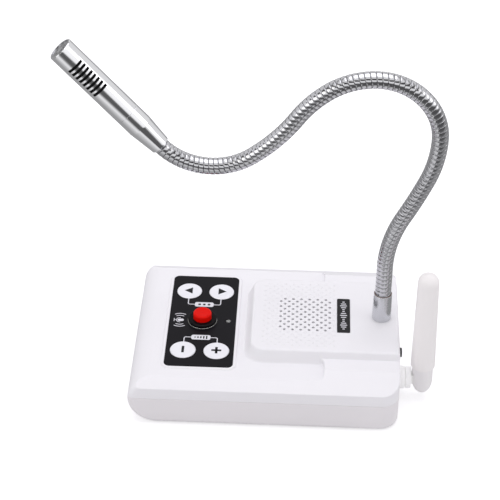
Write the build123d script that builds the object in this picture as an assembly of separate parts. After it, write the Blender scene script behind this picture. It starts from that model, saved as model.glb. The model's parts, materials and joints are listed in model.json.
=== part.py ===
from build123d import *
import math
import os

# Desk intercom for a counter window: a flat housing with keys and a speaker,
# a gooseneck microphone at its rear end and a folding antenna beside it.
# Millimetres. Origin: centre of the base pad's underside, on the desk.
# +X points to the rear end (gooseneck), +Y to the far side, +Z up.

# ---------------------------------------------------------------- driving sizes
front_x = -67.1
rear_x = 65.0
body_width = 100.0
nose_top_r = 11.0
side_r = 2.6
least_r = 0.4
rear_corner_r = 9.0
wall = 2.0
foot_fillet = 0.8
crown_fillet = 1.5
shelf_fillet = 0.6
rim_fillet = 0.6
base_z = 0.2
floor_thickness = 2.2
pad_length = 96.0
pad_width = 62.0
pad_corner_r = 6.0
pad_thickness = 1.2
parting_z = 15.4
rim_z = 21.7
deck_z = 25.0
shoulder_z = 27.9
plateau_z = 31.4
slope_run_per_rise = 1.876
parting_groove = 0.3

plateau_half_width = 31.2
plateau_top_half_width = 28.6
plateau_foot_x = -12.0
plateau_top_x = -8.2
plateau_foot_r = 9.5
plateau_top_r = 6.5
groove_end_x = 28.0
groove_inner_y = 29.5
groove_end_r = 3.5

label_x = -33.4
label_length = 33.7
label_width = 72.8
label_corner_r = 2.8
label_thickness = 0.4
label_top_z = 25.5
frame_rim = 1.3

key_pitch_x = 16.55
key_pitch_y = 47.6
key_r = 6.35
key_flange_r = 7.2
hole_gap = 0.15

ptt_x = -33.5
ptt_flange_r = 7.25
ptt_barrel_r = 5.95
ptt_boss_top_z = 27.4
ptt_cap_r = 4.6
ptt_cap_top_z = 30.7

lamp_x = -20.4
lamp_r = 1.2

speaker_x = 18.2
speaker_r = 22.0
grille_pitch = 4.1
grille_columns = 13
grille_hole_r = 0.75

plate_x = 37.4
plate_length = 6.4
plate_width = 27.1
plate_sink = 0.3
plate_corner_r = 0.9

screw_x = 54.0
screw_y = 37.0

board_z = 5.0
board_thickness = 1.6
board_x0 = -26.0
board_x1 = 59.8
board_half_width = 31.0

neck_x = 56.3
hose_r = 4.0
hose_bore_r = 2.5
ball_gap = 0.25
cable_r = 1.3
ferrule_foot_r = 4.8
ferrule_top_r = 4.5
ferrule_top_z = 46.5
hose_start_z = 36.0

mic_length = 65.6
mic_r = 6.1
mic_tail_r = 4.87
mic_shoulder = 12.8
mic_seam = 21.8
mic_wall = 0.9
slot_count = 8
slot_pitch = 2.29
slot_first = 40.05
slot_width = 1.35
slot_half_angle = 40.6
slot_turn = 15.0

antenna_y = -22.0
antenna_z = 11.3
antenna_x = 77.1
antenna_lean = 0.95
antenna_foot_r = 6.0
antenna_tip_r = 5.1
antenna_height = 64.2
fork_height = 8.3
fork_r = 5.2
tongue_half_height = 2.6
tongue_half_width = 2.0

switch_y = -4.5
switch_z = 12.6
switch_travel = 3.0
knob_reach = 2.7
inlet_y = 20.0
inlet_z = 10.2

deck_under = deck_z - wall
plateau_under = plateau_z - wall
board_top = board_z + board_thickness

os.makedirs("parts", exist_ok=True)


# ------------------------------------------------------------------ shape tools
def save(name, shape):
    """Write one piece, or one group of like pieces, as its own file."""
    export_step(shape, f"parts/{name}.step")


def block(x0, x1, y0, y1, z0, z1):
    """A box between two corners."""
    centre = Pos((x0 + x1) / 2, (y0 + y1) / 2, (z0 + z1) / 2)
    return centre * Box(abs(x1 - x0), abs(y1 - y0), abs(z1 - z0))


def post(r, x, y, z0, z1):
    """An upright cylinder between two levels."""
    return Pos(x, y, (z0 + z1) / 2) * Cylinder(r, z1 - z0)


def bar_x(r, x0, x1, y, z):
    """A cylinder along X."""
    return Pos((x0 + x1) / 2, y, z) * Rot(0, 90, 0) * Cylinder(r, x1 - x0)


def bar_y(r, x, y0, y1, z):
    """A cylinder along Y."""
    return Pos(x, (y0 + y1) / 2, z) * Rot(90, 0, 0) * Cylinder(r, y1 - y0)


def hex_nut(across_flats, bore_r, x, y, z0, z1):
    """An upright hexagon nut."""
    outline = RegularPolygon(across_flats / math.sqrt(3), 6)
    body = Pos(x, y, z0) * Rot(0, 0, 30) * extrude(outline, z1 - z0)
    return body - post(bore_r, x, y, z0 - 1, z1 + 1)


def ring(outer_r, inner_r, x, y, z0, z1):
    """An upright ring."""
    return post(outer_r, x, y, z0, z1) - post(inner_r, x, y, z0 - 1, z1 + 1)


def turned(points):
    """A solid of revolution about Z from (radius, height) corners."""
    profile = make_face(Plane.XZ * Polyline(*points, close=True))
    return revolve(profile, Axis.Z)


def joined(shapes):
    """Union of a list of overlapping solids."""
    first, *others = shapes
    return first.fuse(*others)


# --------------------------------------------------------------------- housing
def envelope(inset, z0, z1):
    """The housing between two levels: bullnose front end, rear corners and rounded foot."""
    front = front_x + inset
    centre_z = deck_z - nose_top_r
    top = deck_z - inset
    low = base_z + inset
    top_x = front_x + nose_top_r
    low_x = front_x + centre_z - base_z
    above = deck_z + 20
    rear = rear_x - inset
    outer = Polyline((top_x, top), (top_x, above), (rear, above), (rear, low), (low_x, low))
    low_bend = RadiusArc((low_x, low), (front, centre_z), centre_z - low)
    top_bend = RadiusArc((front, centre_z), (top_x, top), nose_top_r - inset)
    profile = make_face(Plane.XZ * (outer + low_bend + top_bend))
    half_width = body_width / 2 - inset
    body = extrude(profile, half_width, both=True)
    corners = body.edges().filter_by(Axis.Z).group_by(Axis.X)[-1]
    body = fillet(corners, rear_corner_r - inset)
    nose = [edge for edge in body.edges().filter_by(GeomType.CIRCLE)
            if abs(edge.center().Y) > half_width - 0.01]
    body = fillet(nose, max(side_r - inset, least_r))
    return body & block(front - 1, rear + 1, -body_width, body_width, z0, z1)


def slope_y(z, inset):
    """Half width of the sloping long sides at a level."""
    return body_width / 2 - inset - (z - rim_z + inset) * slope_run_per_rise


def roof_block(top, inset, x0, x1):
    """A length of the roof's cross-section: upright sides, slopes, flat top."""
    half = body_width / 2 - inset
    corners = [(-half, 0), (-half, rim_z - inset), (-slope_y(top, inset), top)]
    corners += [(-y, z) for y, z in reversed(corners)]
    section = make_face(Plane.YZ.offset(x0) * Polyline(*corners, close=True))
    return extrude(section, x1 - x0, dir=(1, 0, 0))


def plateau(inset):
    """The raised field over the speaker, with leaning walls, run past the rear."""
    rear = rear_x + 15
    foot_x = plateau_foot_x + inset
    top_x = plateau_top_x + inset
    foot = RectangleRounded(rear - foot_x, 2 * (plateau_half_width - inset), plateau_foot_r - inset)
    top = RectangleRounded(rear - top_x, 2 * (plateau_top_half_width - inset), plateau_top_r - inset)
    foot = Pos((rear + foot_x) / 2, 0, deck_z - inset - 1) * foot
    top = Pos((rear + top_x) / 2, 0, plateau_z - inset) * top
    return loft([foot, top])


def roof(inset, bottom):
    """The top cover's form, drawn in from the outside by an inset."""
    deck = deck_z - inset
    low = roof_block(deck, inset, front_x - 1, rear_x + 1)
    high = roof_block(shoulder_z - inset, inset, groove_end_x - 8, rear_x + 1)
    groove_outer_y = slope_y(deck, inset) + 0.2
    groove_depth = groove_outer_y - groove_inner_y + inset
    groove = RectangleRounded(80, groove_depth, groove_end_r)
    for side in (-1, 1):
        y = side * (groove_outer_y - groove_depth / 2)
        high -= Pos(groove_end_x + inset - 40, y, deck) * extrude(groove, 10)
    high -= block(-60, groove_end_x - 7, -20, 20, deck, deck + 10)
    form = low + high + plateau(inset)
    return form & envelope(inset, bottom, deck_z + 15)


def key_places():
    """Centres of the four keys, in the order left, right, minus, plus."""
    dx, dy = key_pitch_x / 2, key_pitch_y / 2
    return [(label_x - dx, dy), (label_x + dx, dy), (label_x - dx, -dy), (label_x + dx, -dy)]


def grille_places():
    """Centres of the sound holes: staggered columns of six and seven."""
    places = []
    for column in range(grille_columns):
        x = speaker_x + (column - (grille_columns - 1) / 2) * grille_pitch / 2
        count = 6 + column % 2
        places += [(x, (row - (count - 1) / 2) * grille_pitch) for row in range(count)]
    return places


def corner_places(x, y):
    """Four places mirrored about both plan axes."""
    return [(sx * x, sy * y) for sx in (-1, 1) for sy in (-1, 1)]


def level_edges(shape, z):
    """The edges that lie flat at one level."""
    boxes = [(edge, edge.bounding_box()) for edge in shape.edges()]
    return [edge for edge, box in boxes if abs(box.min.Z - z) < 0.03 and abs(box.max.Z - z) < 0.03]


def softened(form):
    """The top cover's form with its moulded edges rounded and its lower edge eased."""
    form = fillet(level_edges(form, rim_z), rim_fillet)
    foot = [edge for edge in level_edges(form, deck_z)
            if abs(edge.center().Y) < plateau_half_width
            and plateau_foot_x - 1 < edge.center().X < groove_end_x - 8]
    form = fillet(foot, foot_fillet)
    shelf_end = groove_end_x + 0.2
    shelf_side = plateau_half_width + 4
    shelf = [edge for edge in level_edges(form, shoulder_z)
             if edge.bounding_box().max.X < shelf_end or abs(edge.center().Y) > shelf_side]
    form = fillet(shelf, shelf_fillet)
    form = fillet(level_edges(form, plateau_z), crown_fillet)
    return chamfer(level_edges(form, parting_z), parting_groove)


keypad_posts = [(label_x + sx * 12.7, sy * 10.5) for sx in (-1, 1) for sy in (-1, 1)]


def make_top_cover():
    """Moulded upper shell with bosses, key holes, label frame and grille."""
    shell = softened(roof(0, parting_z)) - roof(wall, parting_z - 1)
    rim = Pos(label_x, 0, deck_z - 1) * extrude(
        RectangleRounded(label_length + 2 * frame_rim + 1, label_width + 2 * frame_rim + 1,
                         label_corner_r + frame_rim + 0.5), 1)
    lift = label_top_z - deck_z
    rim += Pos(label_x, 0, deck_z) * extrude(
        RectangleRounded(label_length + 2 * frame_rim + 1, label_width + 2 * frame_rim + 1,
                         label_corner_r + frame_rim + 0.5), lift, taper=45)
    shell += rim
    seat = RectangleRounded(label_length + 0.3, label_width + 0.3, label_corner_r + 0.15)
    shell -= Pos(label_x, 0, label_top_z - label_thickness) * extrude(seat, 5)
    for x, y in corner_places(screw_x, screw_y):
        ceiling = deck_under if x < 0 else shoulder_z - wall
        shell += post(3.5, x, y, parting_z, ceiling + 0.5)
        shell -= post(1.3, x, y, parting_z - 1, parting_z + 6)
    for x, y in keypad_posts:
        shell += post(2.0, x, y, 17.3, deck_under + 0.5)
        shell -= post(0.8, x, y, 17.0, 22.0)
    holes = [post(key_r + hole_gap, x, y, 20, 30) for x, y in key_places()]
    holes.append(post(ptt_barrel_r + hole_gap, ptt_x, 0, 20, 30))
    holes.append(post(lamp_r + hole_gap, lamp_x, 0, 20, 30))
    holes.append(post(hose_r + hole_gap, neck_x, 0, 28, 34))
    holes += [post(grille_hole_r, x, y, 28, 34) for x, y in grille_places()]
    holes.append(block(plate_x - plate_length / 2 - 0.15, plate_x + plate_length / 2 + 0.15,
                       -plate_width / 2 - 0.15, plate_width / 2 + 0.15, plateau_z - plate_sink, 34))
    return shell.cut(*holes)


def make_bottom_cover():
    """Moulded tray: floor, walls, joint lip, posts and rear wall openings."""
    tray = envelope(0, -1, parting_z)
    tray = chamfer(level_edges(tray, parting_z), parting_groove)
    floor_top = base_z + floor_thickness
    tray -= envelope(wall, floor_top, parting_z + 5)
    low, middle, high = parting_z - 1.5, parting_z - 0.3, parting_z + 1.5
    lip = envelope(wall + 0.1, low, high) + envelope(wall - 0.5, low, middle)
    lip -= envelope(wall + 1.2, low - 1, high + 1)
    tray += lip - block(58, rear_x - wall + 0.05, -28, 27, parting_z - 3, parting_z + 3)
    pocket = RectangleRounded(pad_length + 1, pad_width + 1, pad_corner_r + 0.5)
    tray -= Pos(0, 0, base_z - 1) * extrude(pocket, pad_thickness - base_z + 1)
    for x, y in corner_places(screw_x, screw_y):
        tray += post(4.0, x, y, base_z + 1.2, parting_z - 0.05)
        tray -= post(3.2, x, y, 0, 6.0)
        tray -= post(1.7, x, y, 0, 20)
    for x, y in board_screw_places:
        tray += post(3.0, x, y, floor_top - 0.5, board_z)
        tray -= post(1.0, x, y, floor_top - 0.6, board_z + 1)
    tray -= bar_x(3.25, 60, 70, antenna_y, antenna_z)
    tray -= bar_x(4.1, 60, 70, inlet_y, inlet_z)
    slot_z = 1.8
    tray -= block(60, 70, switch_y - 2.4, switch_y + switch_travel + 2.4,
                  switch_z - slot_z, switch_z + slot_z)
    return tray


board_screw_places = [(x, y) for x in (-21.0, 46.0) for y in (-27.0, 27.0)]


def screw(head_r, shank_r, x, y, head_z0, head_z1, tip_z):
    """A pan head screw; the head lies between two levels, the shank ends at tip_z."""
    shank_end = head_z1 if tip_z > head_z1 else head_z0
    low, high = sorted((shank_end, tip_z))
    return post(head_r, x, y, head_z0, head_z1) + post(shank_r, x, y, low, high)


def make_housing():
    save("top_cover", make_top_cover())
    save("bottom_cover", make_bottom_cover())
    save("base_pad", extrude(RectangleRounded(pad_length, pad_width, pad_corner_r), pad_thickness))
    save("case_screws", Compound([screw(2.8, 1.25, x, y, 3.8, 6.0, 20.5)
                                  for x, y in corner_places(screw_x, screw_y)]))
    plate = block(plate_x - plate_length / 2, plate_x + plate_length / 2,
                  -plate_width / 2, plate_width / 2, plateau_z - plate_sink, plateau_z + 0.15)
    save("name_plate", fillet(plate.edges().filter_by(Axis.Z), plate_corner_r))


# -------------------------------------------------------------------- controls
def make_controls():
    """Label, four keys on tact switches, push-to-talk button and status lamp."""
    label = Pos(label_x, 0, label_top_z - label_thickness) * extrude(
        RectangleRounded(label_length, label_width, label_corner_r), label_thickness)
    for x, y in key_places():
        label -= post(key_r + hole_gap, x, y, 20, 30)
    label -= post(ptt_barrel_r + hole_gap, ptt_x, 0, 20, 30)
    label -= post(lamp_r + hole_gap, lamp_x, 0, 20, 30)
    save("control_label", label)

    key_top = label_top_z + 0.1
    for name, (x, y) in zip(("left", "right", "minus", "plus"), key_places()):
        disc = post(key_r, x, y, 22.0, key_top)
        disc = fillet(disc.edges().group_by(Axis.Z)[-1], 0.25)
        flange = post(key_flange_r, x, y, 21.9, deck_under - 0.1)
        save(f"key_{name}", disc + flange + post(1.4, x, y, 20.3, 22.5))

    pcb_low, pcb_top = 16.1, 17.3
    board = block(label_x - 15.2, label_x + 15.2, -33, 33, pcb_low, pcb_top)
    board -= post(9.0, ptt_x, 0, 10, 20)
    for x, y in keypad_posts:
        board -= post(1.1, x, y, 10, 20)
    save("keypad_board", board)
    switches = []
    for x, y in key_places():
        body = block(x - 3, x + 3, y - 3, y + 3, pcb_top, 20.9)
        switches.append(body - post(1.6, x, y, 19.6, 22))
    save("tact_switches", Compound(switches))
    save("keypad_screws", Compound([screw(1.7, 0.8, x, y, 14.9, pcb_low, 21.5)
                                    for x, y in keypad_posts]))

    housing = post(ptt_flange_r, ptt_x, 0, label_top_z, ptt_boss_top_z)
    housing = fillet(housing.edges().group_by(Axis.Z)[-1], 0.8)
    housing += post(ptt_barrel_r, ptt_x, 0, 12.0, label_top_z + 0.5)
    housing -= post(ptt_cap_r + 0.12, ptt_x, 0, 20, 40)
    housing -= post(ptt_cap_r + 0.75, ptt_x, 0, 14.5, 24.4)
    save("ptt_housing", housing)
    save("ptt_nut", hex_nut(15, ptt_barrel_r + 0.05, ptt_x, 0, 20.4, deck_under))
    cap = post(ptt_cap_r, ptt_x, 0, 23.0, ptt_cap_top_z)
    cap = fillet(cap.edges().group_by(Axis.Z)[-1], 1.0)
    save("ptt_cap", cap + post(ptt_cap_r + 0.6, ptt_x, 0, 22.9, 24.2))
    coil = Helix(pitch=1.54, height=7.7, radius=3.4)
    wire_end = Plane(origin=coil @ 0, z_dir=coil % 0) * Circle(0.32)
    spring = sweep(wire_end, path=coil, is_frenet=True)
    save("ptt_spring", Pos(ptt_x, 0, 14.85) * spring)
    save("ptt_contacts", Compound([block(ptt_x + dx - 0.4, ptt_x + dx + 0.4, -1.5, 1.5, 6.5, 12.0)
                                   for dx in (-3, 3)]))

    lamp = post(lamp_r, lamp_x, 0, pcb_top, label_top_z + 0.1)
    lamp = fillet(lamp.edges().group_by(Axis.Z)[-1], 0.3)
    save("status_led", lamp + post(1.4, lamp_x, 0, pcb_top, 18.3))


# --------------------------------------------------------------------- speaker
def make_speaker():
    """Round loudspeaker hung under the grille on a foam ring."""
    seat = plateau_under
    save("speaker_gasket", ring(speaker_r, 18.5, speaker_x, 0, seat - 1.0, seat))
    frame = turned([(22, 27.6), (22, 28.4), (18.2, 28.4), (18.2, 27.9), (11.6, 21.4),
                    (11.6, 20.4), (6, 20.4), (6, 19.4), (12.6, 19.4), (12.6, 21.0),
                    (18.6, 27.0), (18.6, 27.6)])
    save("speaker_frame", Pos(speaker_x, 0, 0) * frame)
    cone = turned([(0, 23.6), (3.2, 23.1), (5.0, 21.9), (17.9, 27.9), (17.9, 28.3),
                   (16.8, 28.3), (5.0, 22.5), (3.2, 23.5), (0, 24.0)])
    save("speaker_cone", Pos(speaker_x, 0, 0) * cone)
    magnet = post(11.5, speaker_x, 0, 11.6, 19.4)
    magnet += post(5.0, speaker_x, 0, 19.4, 21.0)
    save("speaker_magnet", magnet)


# ----------------------------------------------------------------- electronics
def make_electronics():
    """Main board with its parts, the inlet and the slide switch."""
    board = block(board_x0, board_x1, -board_half_width, board_half_width, board_z, board_top)
    for x, y in board_screw_places:
        board -= post(1.3, x, y, 0, 10)
    save("main_board", board)
    save("board_screws", Compound([screw(2.2, 1.0, x, y, board_top, board_top + 1.6, 3.0)
                                   for x, y in board_screw_places]))
    amplifier = block(-18, -6, -8, 2, board_top, board_top + 2.2)
    fins = [block(-17.6 + 2.4 * i, -16.6 + 2.4 * i, -8, 2, board_top + 3.2, board_top + 7)
            for i in range(5)]
    sink = block(-18, -6, -8, 2, board_top + 2.2, board_top + 3.4)
    heat_sink = joined([sink] + fins)
    caps = [post(r, x, y, board_top, board_top + h)
            for r, x, y, h in ((4, -13, 14, 9), (4, -4, 14, 9), (2.5, 1, 22, 4.5),
                               (2.5, 8, 24, 4.5), (2.5, -14, -20, 8), (3.15, 36, 16, 9))]
    chips = [block(x, x + 7, y, y + 5, board_top, board_top + 1.4)
             for x, y in ((34, 2), (34, -8), (16, -28), (2, -28))]
    save("board_parts", Compound([amplifier, heat_sink] + caps + chips))
    save("radio_module", block(49.5, 57.5, -30, -17, board_top, board_top + 1.8))

    jack = block(50.9, rear_x - wall - 0.1, inlet_y - 4.5, inlet_y + 4.5, board_top, inlet_z + 4.6)
    jack += bar_x(3.95, rear_x - wall - 0.5, rear_x + 0.1, inlet_y, inlet_z)
    jack -= bar_x(2.85, 55, 70, inlet_y, inlet_z)
    jack -= bar_x(1.0, 53, 56, inlet_y, inlet_z)
    save("dc_jack", jack)
    pin = bar_x(1.0, 53, rear_x - 1, inlet_y, inlet_z)
    save("dc_pin", fillet(pin.edges().group_by(Axis.X)[-1], 0.4))

    body = block(57, rear_x - wall - 0.2, switch_y - 3.9, switch_y + switch_travel + 3.9,
                 board_top, switch_z + 2.8)
    body -= block(60, 70, switch_y - 2.5, switch_y + switch_travel + 2.5,
                  switch_z - 1.75, switch_z + 1.75)
    save("power_switch", body)
    knob = block(60.3, rear_x + knob_reach, switch_y - 2, switch_y + 2,
                 switch_z - 1.5, switch_z + 1.5)
    save("power_knob", fillet(knob.edges().group_by(Axis.X)[-1], 0.35))


# --------------------------------------------------------------------- antenna
def make_antenna():
    """Jack in the rear wall, collar, swivel knuckle, hinge pin and folding mast."""
    jack = bar_x(4.5, rear_x - wall - 1.5, rear_x - wall, antenna_y, antenna_z)
    jack += bar_x(3.1, 58, rear_x + 1.6, antenna_y, antenna_z)
    save("antenna_jack", jack)
    collar = bar_x(5.6, rear_x + 0.1, rear_x + 3.5, antenna_y, antenna_z)
    collar = fillet(collar.edges().group_by(Axis.X)[-1], 0.8)
    collar -= bar_x(3.15, 60, rear_x + 1.7, antenna_y, antenna_z)
    collar -= bar_x(2.55, rear_x + 1, rear_x + 5, antenna_y, antenna_z)
    save("antenna_collar", collar)

    shoulder_x = antenna_x - fork_r - 0.5
    knuckle = bar_x(5.35, rear_x + 3.7, shoulder_x, antenna_y, antenna_z)
    knuckle = fillet(knuckle.edges().group_by(Axis.X)[0], 0.6)
    knuckle += bar_x(2.5, rear_x + 1.8, rear_x + 5, antenna_y, antenna_z)
    tongue = block(shoulder_x - 1, antenna_x, antenna_y - tongue_half_width,
                   antenna_y + tongue_half_width,
                   antenna_z - tongue_half_height, antenna_z + tongue_half_height)
    tongue += bar_y(tongue_half_height, antenna_x, antenna_y - tongue_half_width,
                    antenna_y + tongue_half_width, antenna_z)
    knuckle += tongue
    knuckle -= bar_y(1.25, antenna_x, antenna_y - 6, antenna_y + 6, antenna_z)
    save("antenna_knuckle", knuckle)

    pin_place = Pos(antenna_x, antenna_y, antenna_z)
    lean = pin_place * Rot(0, -antenna_lean, 0)
    fork = post(fork_r, 0, 0, -fork_r, fork_height)
    rounded = block(-8, 8, -8, 8, 0, 20) + bar_y(fork_r, 0, -8, 8, 0)
    fork &= rounded
    fork += post(2.45, 0, 0, fork_height - 0.5, fork_height + 4)
    fork -= block(-8, tongue_half_height + 0.6, -tongue_half_width - 0.2,
                  tongue_half_width + 0.2, -8, tongue_half_height + 1.8)
    fork -= bar_y(1.2, 0, -4.2, 4.2, 0)
    save("antenna_fork", lean * fork)
    save("antenna_pin", lean * bar_y(1.2, 0, -4.2, 4.2, 0))
    sleeve_foot = fork_height + 0.15
    dome_z = antenna_height - antenna_tip_r
    mast = Pos(0, 0, (sleeve_foot + dome_z) / 2) * Cone(
        antenna_foot_r, antenna_tip_r, dome_z - sleeve_foot)
    mast += Pos(0, 0, dome_z) * Sphere(antenna_tip_r)
    save("antenna_sleeve", lean * (mast - post(2.5, 0, 0, 0, 56)))
    element = post(0.6, 0, 0, fork_height + 4.0, 52) + post(1.6, 0, 0, 24, 46)
    save("antenna_element", lean * element)


# ------------------------------------------------------------------- gooseneck
# Turns of the hose's centre line in the XZ plane, in degrees (positive turns
# from +X towards +Z) with their radii; a straight run is (0, length).
hose_stretches = [
    [(0, 26.6), (-9, 66)],
    [(-18, 66), (5, 264)],
    [(22, 62), (48, 31)],
    [(48, 31), (30, 38)],
    [(20, 57), (-20, 87)],
    [(-84.3, 32), (0, 1.2)],
]


def stretch_path(x, z, heading, moves):
    """Edges of one hose stretch, with the point and heading where it ends."""
    edges = []
    for turn, size in moves:
        if turn == 0:
            end = (x + size * math.cos(heading), z + size * math.sin(heading))
            edges.append(Edge.make_line((x, 0, z), (end[0], 0, end[1])))
        else:
            side = math.copysign(1, turn)
            centre = (x - side * size * math.sin(heading), z + side * size * math.cos(heading))
            places = []
            for part in (0.5, 1.0):
                angle = heading + math.radians(turn) * part
                places.append((centre[0] + side * size * math.sin(angle),
                               centre[1] - side * size * math.cos(angle)))
            middle, end = places
            edges.append(Edge.make_three_point_arc((x, 0, z), (middle[0], 0, middle[1]),
                                                   (end[0], 0, end[1])))
            heading += math.radians(turn)
        x, z = end
    return edges, x, z, heading


def across(x, z, heading):
    """The plane square to the hose at a point, its Z along the hose."""
    return Plane(origin=(x, 0, z), x_dir=(0, 1, 0), z_dir=(math.cos(heading), 0, math.sin(heading)))


def make_neck():
    """Ferrule and bush, six hose stretches with ball ends, cable and microphone."""
    save("neck_bush", ring(hose_r, hose_bore_r, neck_x, 0, 23.5, hose_start_z - 0.1))
    save("neck_washer", ring(6.3, hose_r + 0.1, neck_x, 0, plateau_under - 1.0, plateau_under))
    save("neck_nut", hex_nut(12, hose_r + 0.02, neck_x, 0, plateau_under - 5.0, plateau_under - 1.0))
    ferrule = Pos(neck_x, 0, (plateau_z + ferrule_top_z) / 2) * Cone(
        ferrule_foot_r, ferrule_top_r, ferrule_top_z - plateau_z)
    ferrule = fillet(ferrule.edges().group_by(Axis.Z)[0], 0.6)
    save("neck_ferrule", ferrule - post(hose_r + 0.05, neck_x, 0, 20, 60))

    x, z, heading = neck_x, hose_start_z, math.pi / 2
    last = len(hose_stretches)
    for number, moves in enumerate(hose_stretches, start=1):
        start = across(x, z, heading)
        edges, x, z, heading = stretch_path(x, z, heading, moves)
        end = across(x, z, heading)
        path = Wire(edges)
        tube = sweep(start * Circle(hose_r), path=path)
        bore = sweep(start * Circle(hose_bore_r), path=path)
        core = sweep(start * Circle(cable_r), path=path)
        if number > 1:
            ball = start * Sphere(hose_r)
            tube += ball - start * Pos(0, 0, hose_r) * Box(20, 20, 2 * hose_r)
            bore += start * Pos(0, 0, -hose_r / 2) * Cylinder(hose_bore_r, hose_r)
            core -= start * Cylinder(8, 1.0)
        tube -= bore
        if number < last:
            tube -= end * Sphere(hose_r + ball_gap)
            core -= end * Sphere(hose_r + 2 * ball_gap)
        else:
            lead = end * Pos(0, 0, (mic_length - 7.2) / 2) * Cylinder(0.8, mic_length - 7.0)
            core += lead
        save(f"hose_{number}", tube)
        save(f"cable_{number}", core)
        print(f"hinge after stretch {number}: x {x:.3f} z {z:.3f} heading {math.degrees(heading):.2f}")
    make_microphone(end)


def make_microphone(tail):
    """Turned rear shell, slotted tube, end cap, capsule and grommet on the hose end."""
    rear = turned([(hose_r + 0.05, -1.0), (mic_tail_r - 0.3, -1.0), (mic_tail_r, -0.6),
                   (mic_r, mic_shoulder), (mic_r, mic_seam), (mic_r - mic_wall, mic_seam),
                   (mic_r - mic_wall, 13.8), (2.2, 10.8), (2.2, 0), (hose_r + 0.05, 0)])
    save("mic_rear_shell", tail * rear)
    tube = turned([(mic_r - mic_wall, mic_seam + 0.08), (mic_r, mic_seam + 0.08),
                   (mic_r, mic_length - 0.35), (mic_r - 0.35, mic_length),
                   (mic_r - mic_wall, mic_length)])
    sector_r = 2 * mic_r
    reach = math.radians(slot_half_angle)
    sector = make_face(Polyline((0, 0), (sector_r * math.cos(reach), -sector_r * math.sin(reach)),
                                (sector_r / math.cos(reach / 2), 0),
                                (sector_r * math.cos(reach), sector_r * math.sin(reach)), close=True))
    wedge = extrude(sector, slot_width)
    for side in (0, 180):
        turn = Rot(0, 0, slot_turn + side)
        for i in range(slot_count):
            level = slot_first + i * slot_pitch - slot_width / 2
            tube -= Pos(0, 0, level) * turn * wedge
    save("mic_tube", tail * tube)
    cap = post(mic_r - mic_wall - 0.02, 0, 0, mic_length - 1.6, mic_length - 0.4)
    cap -= Pos(0, 0, mic_length + 4.1) * Sphere(5.0)
    vents = [post(0.35, 2.6 * math.cos(a), 2.6 * math.sin(a), 60, 70)
             for a in (math.radians(60 * i) for i in range(6))]
    save("mic_cap", tail * cap.cut(*vents, post(0.5, 0, 0, 60, 70)))
    front = mic_length - 1.7
    capsule = post(4.2, 0, 0, front - 5.4, front)
    save("mic_capsule", tail * capsule)
    grommet = post(mic_r - mic_wall - 0.02, 0, 0, front - 5.0, front - 0.4)
    save("mic_grommet", tail * (grommet - post(4.2, 0, 0, 50, 70)))


make_housing()
make_controls()
make_speaker()
make_electronics()
make_antenna()
make_neck()
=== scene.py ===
import json
import math

import bmesh
import bpy
import numpy as np
from mathutils import Matrix, Vector

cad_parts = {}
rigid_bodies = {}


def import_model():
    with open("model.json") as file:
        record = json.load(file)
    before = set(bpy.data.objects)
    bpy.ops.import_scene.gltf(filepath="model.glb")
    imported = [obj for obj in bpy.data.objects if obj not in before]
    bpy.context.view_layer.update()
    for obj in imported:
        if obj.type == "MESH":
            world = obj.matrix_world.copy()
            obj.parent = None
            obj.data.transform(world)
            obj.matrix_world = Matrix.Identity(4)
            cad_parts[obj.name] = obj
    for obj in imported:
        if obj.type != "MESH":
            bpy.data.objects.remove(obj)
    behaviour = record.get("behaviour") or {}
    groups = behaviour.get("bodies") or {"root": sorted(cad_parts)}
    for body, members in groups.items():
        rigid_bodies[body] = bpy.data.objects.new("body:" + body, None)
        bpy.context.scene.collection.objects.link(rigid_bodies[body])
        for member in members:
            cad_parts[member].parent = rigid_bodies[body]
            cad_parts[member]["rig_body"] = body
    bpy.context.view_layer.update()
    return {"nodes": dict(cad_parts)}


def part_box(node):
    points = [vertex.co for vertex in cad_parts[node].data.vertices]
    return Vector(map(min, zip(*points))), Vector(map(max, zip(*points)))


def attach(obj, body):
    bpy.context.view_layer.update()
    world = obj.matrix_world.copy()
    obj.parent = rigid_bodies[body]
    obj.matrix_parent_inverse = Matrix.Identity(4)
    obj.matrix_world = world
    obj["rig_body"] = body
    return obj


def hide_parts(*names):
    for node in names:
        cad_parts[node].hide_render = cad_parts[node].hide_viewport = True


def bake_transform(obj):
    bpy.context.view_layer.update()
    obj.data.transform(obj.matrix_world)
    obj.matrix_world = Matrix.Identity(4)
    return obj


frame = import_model()
scene = bpy.context.scene
mm = 0.001

# ------------------------------------------------------------------ the studio
# A table-top set: a long lens looks down over the intercom's near long side, a broad soft
# lamp hangs overhead with two smaller ones beside it, and the pale floor runs out to white.
camera_azimuth = math.radians(2.0117)
camera_elevation = math.radians(36.084)
camera_roll = math.radians(0.7197)
camera_target = Vector((-12.115, 61.518, 25.36)) * mm
camera_distance = 878.467 * mm
camera_lens, camera_film = 118.27, 36

toward_lens = Vector((math.sin(camera_azimuth) * math.cos(camera_elevation),
                      -math.cos(camera_azimuth) * math.cos(camera_elevation),
                      math.sin(camera_elevation)))
level_right = Vector((math.cos(camera_azimuth), math.sin(camera_azimuth), 0))
level_up = toward_lens.cross(level_right)
rolled_right = level_right * math.cos(camera_roll) + level_up * math.sin(camera_roll)
rolled_up = level_up * math.cos(camera_roll) - level_right * math.sin(camera_roll)
camera = bpy.data.objects.new("camera", bpy.data.cameras.new("camera"))
camera.data.lens = camera_lens
camera.data.sensor_width = camera_film
camera.matrix_world = (Matrix.Translation(camera_target + toward_lens * camera_distance)
                       @ Matrix((rolled_right, rolled_up, toward_lens)).transposed().to_4x4())
scene.collection.objects.link(camera)
scene.camera = camera
scene.view_settings.view_transform = "Standard"


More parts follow.
